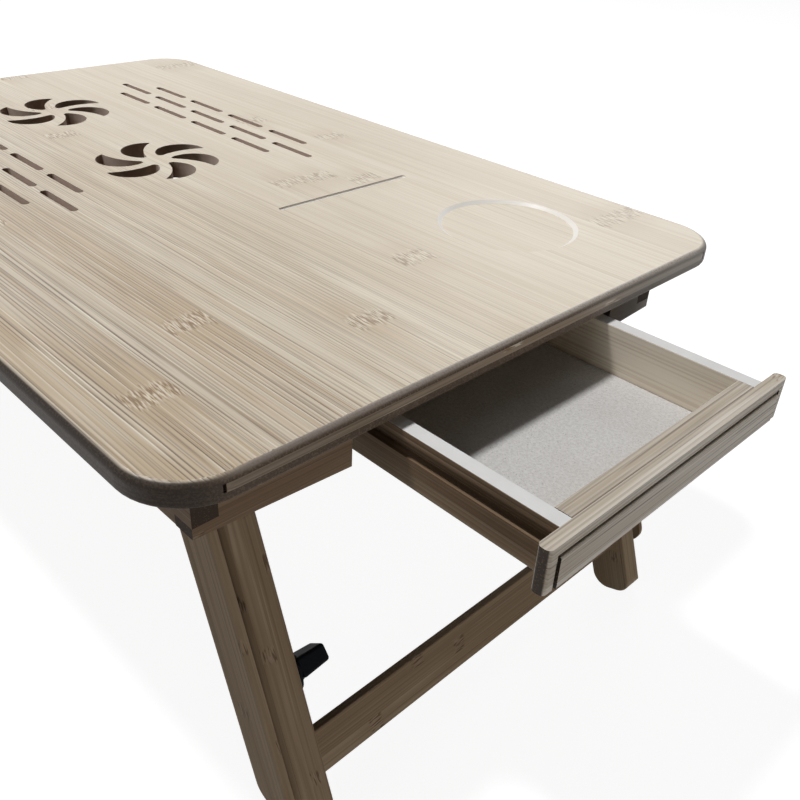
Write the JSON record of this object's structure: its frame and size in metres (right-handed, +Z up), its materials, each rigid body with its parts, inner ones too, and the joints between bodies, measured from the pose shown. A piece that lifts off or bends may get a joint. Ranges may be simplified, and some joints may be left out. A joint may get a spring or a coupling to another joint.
{
  "type": "laptop stand with drawer",
  "caption": "Bamboo bed tray and laptop stand: vented board on fold-under leg frames with screw-clamped sliding extensions, and a shallow drawer in one end.",
  "frame": {"origin": "on the floor, under the centre of the part's bounding box with the drawer standing open", "axes": "+X out of the drawer end along the board's length, +Y towards the far long edge, +Z up"},
  "size_m": [0.6586, 0.346, 0.1853],
  "materials": {
    "board_bamboo": "flat-pressed bamboo, clear satin lacquer",
    "spline_bamboo": "bamboo strip across the board's end, satin",
    "frame_bamboo": "side-pressed caramel bamboo, satin",
    "drawer_bamboo": "side-pressed bamboo, satin",
    "drawer_fibreboard": "thin pale fibreboard, matt",
    "front_bamboo": "flat-pressed bamboo, satin",
    "leg_bamboo": "caramel bamboo, satin",
    "knob_plastic": "moulded black plastic",
    "screw_steel": "zinc-plated",
    "insert_brass": "turned"
  },
  "bodies": {
    "table": {"top_board": "board_bamboo", "drawer_end_spline": "spline_bamboo", "rear_end_spline": "spline_bamboo", "near_long_rail": "frame_bamboo", "far_long_rail": "frame_bamboo", "near_stile": "frame_bamboo", "far_stile": "frame_bamboo", "rear_rail": "frame_bamboo", "middle_rail": "frame_bamboo", "rail_screws": "screw_steel", "pivot_screws": "screw_steel", "near_runner": "frame_bamboo", "far_runner": "frame_bamboo"},
    "drawer": {"drawer_near_side": "drawer_bamboo", "drawer_far_side": "drawer_bamboo", "drawer_inner_front": "drawer_bamboo", "drawer_back": "drawer_bamboo", "drawer_bottom": "drawer_fibreboard", "drawer_nails": "screw_steel", "drawer_front_screws": "screw_steel", "drawer_front": "front_bamboo", "drawer_front_strip": "front_bamboo"},
    "front_upper_legs": {"front_near_upper_leg": "leg_bamboo", "front_far_upper_leg": "leg_bamboo", "front_insert_nuts": "insert_brass"},
    "front_lower_legs": {"front_near_lower_leg": "leg_bamboo", "front_far_lower_leg": "leg_bamboo", "front_crossbar": "leg_bamboo"},
    "front_near_clamp": {"front_near_knob": "knob_plastic", "front_near_clamp_bolt": "screw_steel"},
    "front_far_clamp": {"front_far_knob": "knob_plastic", "front_far_clamp_bolt": "screw_steel"},
    "rear_upper_legs": {"rear_near_upper_leg": "leg_bamboo", "rear_far_upper_leg": "leg_bamboo", "rear_insert_nuts": "insert_brass"},
    "rear_lower_legs": {"rear_near_lower_leg": "leg_bamboo", "rear_far_lower_leg": "leg_bamboo", "rear_crossbar": "leg_bamboo"},
    "rear_near_clamp": {"rear_near_knob": "knob_plastic", "rear_near_clamp_bolt": "screw_steel"},
    "rear_far_clamp": {"rear_far_knob": "knob_plastic", "rear_far_clamp_bolt": "screw_steel"}
  },
  "joints": [
    {"name": "drawer_slide", "type": "slide", "parent": "table", "child": "drawer", "axis": [1, 0, 0], "range_m": [-0.0903, 0.045]},
    {"name": "front_leg_fold", "type": "hinge", "parent": "table", "child": "front_upper_legs", "pos_m": [0.21322, -0.0214, 0.16339], "axis": [0, 1, 0], "range_deg": [0, 98]},
    {"name": "front_leg_extend", "type": "slide", "parent": "front_upper_legs", "child": "front_lower_legs", "axis": [0.3371, 0, -0.9415], "range_m": [0, 0.06]},
    {"name": "front_near_clamp_turn", "type": "hinge", "parent": "front_upper_legs", "child": "front_near_clamp", "pos_m": [0.24477, -0.1273, 0.07526], "axis": [0, 1, 0], "range_deg": [0, 360]},
    {"name": "front_far_clamp_turn", "type": "hinge", "parent": "front_upper_legs", "child": "front_far_clamp", "pos_m": [0.24477, 0.0845, 0.07526], "axis": [0, -1, 0], "range_deg": [0, 360]},
    {"name": "rear_leg_fold", "type": "hinge", "parent": "table", "child": "rear_upper_legs", "pos_m": [-0.26272, -0.0214, 0.16339], "axis": [0, -1, 0], "range_deg": [0, 109.5]},
    {"name": "rear_leg_extend", "type": "slide", "parent": "rear_upper_legs", "child": "rear_lower_legs", "axis": [-0.3371, 0, -0.9415], "range_m": [0, 0.06]},
    {"name": "rear_near_clamp_turn", "type": "hinge", "parent": "rear_upper_legs", "child": "rear_near_clamp", "pos_m": [-0.29427, -0.1273, 0.07526], "axis": [0, 1, 0], "range_deg": [0, 360]},
    {"name": "rear_far_clamp_turn", "type": "hinge", "parent": "rear_upper_legs", "child": "rear_far_clamp", "pos_m": [-0.29427, 0.0845, 0.07526], "axis": [0, -1, 0], "range_deg": [0, 360]}
  ]
}
